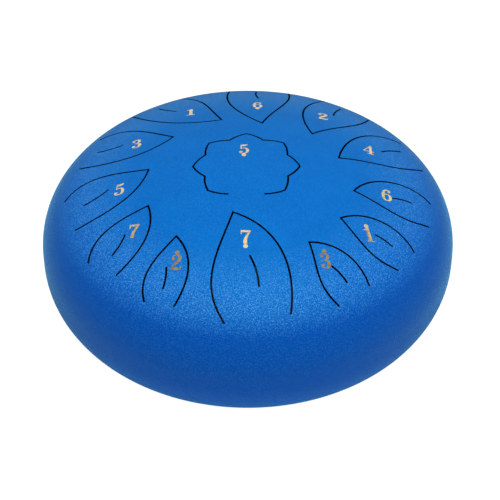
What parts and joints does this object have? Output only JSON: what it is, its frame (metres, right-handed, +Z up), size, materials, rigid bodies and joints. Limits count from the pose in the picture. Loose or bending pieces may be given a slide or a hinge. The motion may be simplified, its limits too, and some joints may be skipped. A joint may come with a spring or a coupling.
{
  "type": "tongue drum",
  "caption": "Round steel tongue drum: domed halves welded at a seam, leaf tongues round a lotus tongue, sound hole below, rubber feet.",
  "frame": {"origin": "on the surface it stands on, under the middle of the drum", "axes": "+Z up out of the crown, -Y towards the player, +X to the player's right"},
  "size_m": [0.3, 0.3, 0.1452],
  "materials": {
    "powder_coat": "satin sky blue powder coat with a fine sparkle",
    "rubber": "matt black moulded rubber",
    "zinc_steel": "bright zinc plate",
    "gold_foil": "pale gold foil"
  },
  "bodies": {
    "root": {"top_shell": "powder_coat", "bottom_shell": "powder_coat", "seam_weld": "powder_coat", "rubber_foot_1": "rubber", "rubber_foot_2": "rubber", "rubber_foot_3": "rubber", "rubber_foot_4": "rubber", "foot_screw_1": "zinc_steel", "foot_screw_2": "zinc_steel", "foot_screw_3": "zinc_steel", "foot_screw_4": "zinc_steel", "foot_washer_1": "zinc_steel", "foot_washer_2": "zinc_steel", "foot_washer_3": "zinc_steel", "foot_washer_4": "zinc_steel", "inner_washer_1": "zinc_steel", "inner_washer_2": "zinc_steel", "inner_washer_3": "zinc_steel", "inner_washer_4": "zinc_steel", "foot_nut_1": "zinc_steel", "foot_nut_2": "zinc_steel", "foot_nut_3": "zinc_steel", "foot_nut_4": "zinc_steel"}
  },
  "joints": []
}
